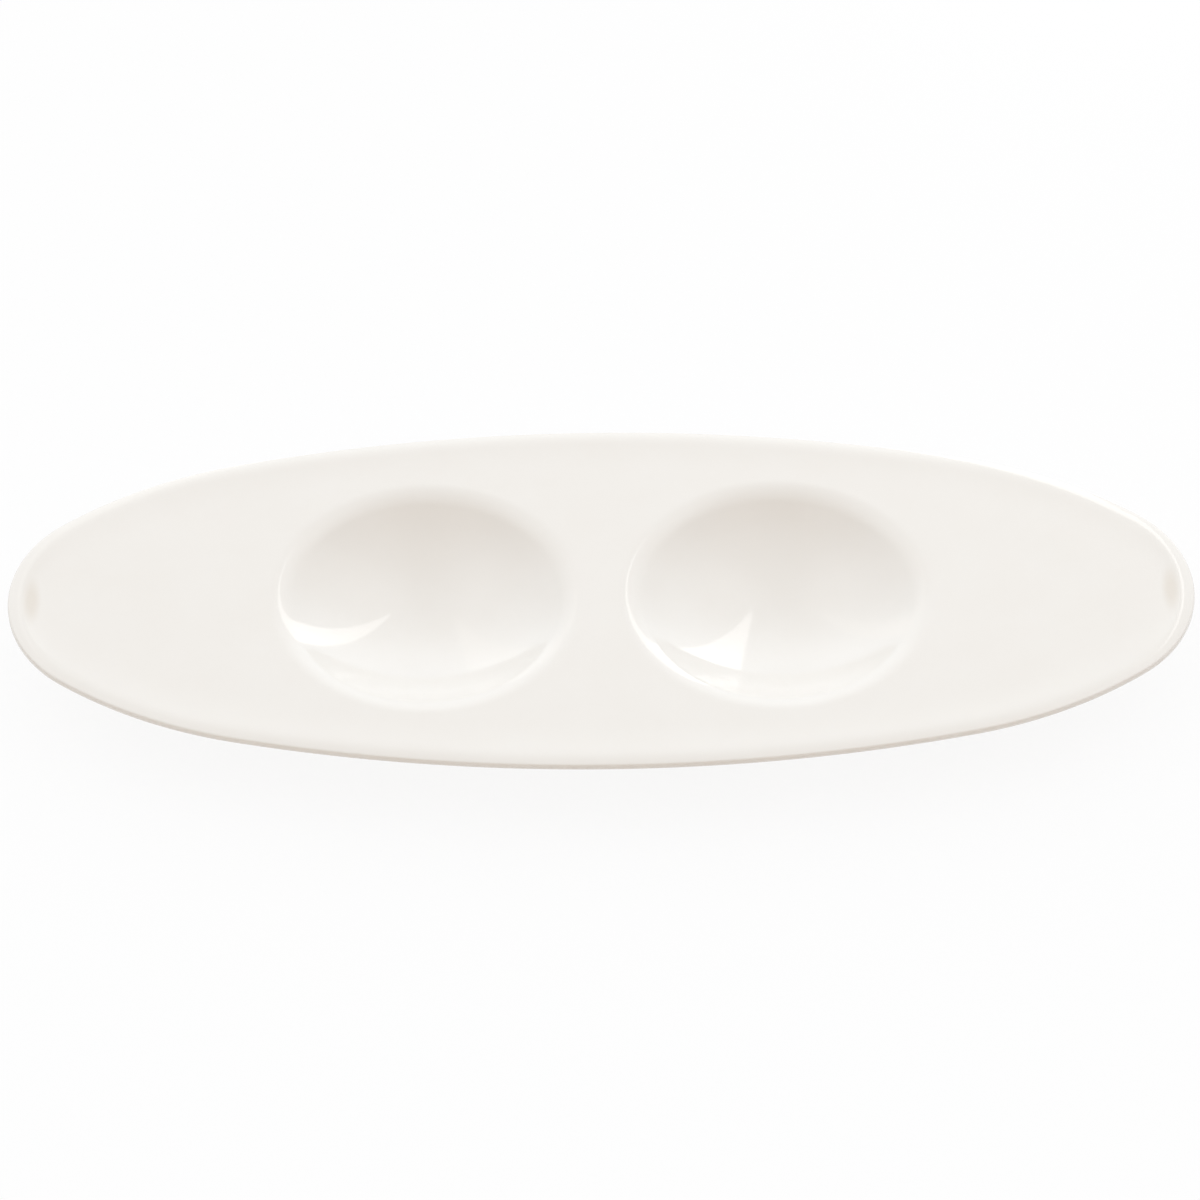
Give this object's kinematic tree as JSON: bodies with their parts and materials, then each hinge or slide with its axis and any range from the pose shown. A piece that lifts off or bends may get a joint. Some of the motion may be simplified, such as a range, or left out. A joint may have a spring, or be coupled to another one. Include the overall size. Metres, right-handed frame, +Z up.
{
  "type": "deviled egg platter",
  "caption": "Long oval glazed porcelain platter with a low raised lip, a flat floor, round shallow egg wells side by side in its middle, and an unglazed foot ring.",
  "frame": {"origin": "on the table, under the middle of the platter", "axes": "+X along the platter's length, +Y across it, +Z up from the table"},
  "size_m": [0.27, 0.105, 0.0184],
  "materials": {
    "porcelain": "bare fired porcelain, matt",
    "glaze": "ivory white gloss glaze"
  },
  "bodies": {
    "root": {"porcelain_body": "porcelain", "outer_glaze": "glaze", "recess_glaze": "glaze"}
  },
  "joints": []
}
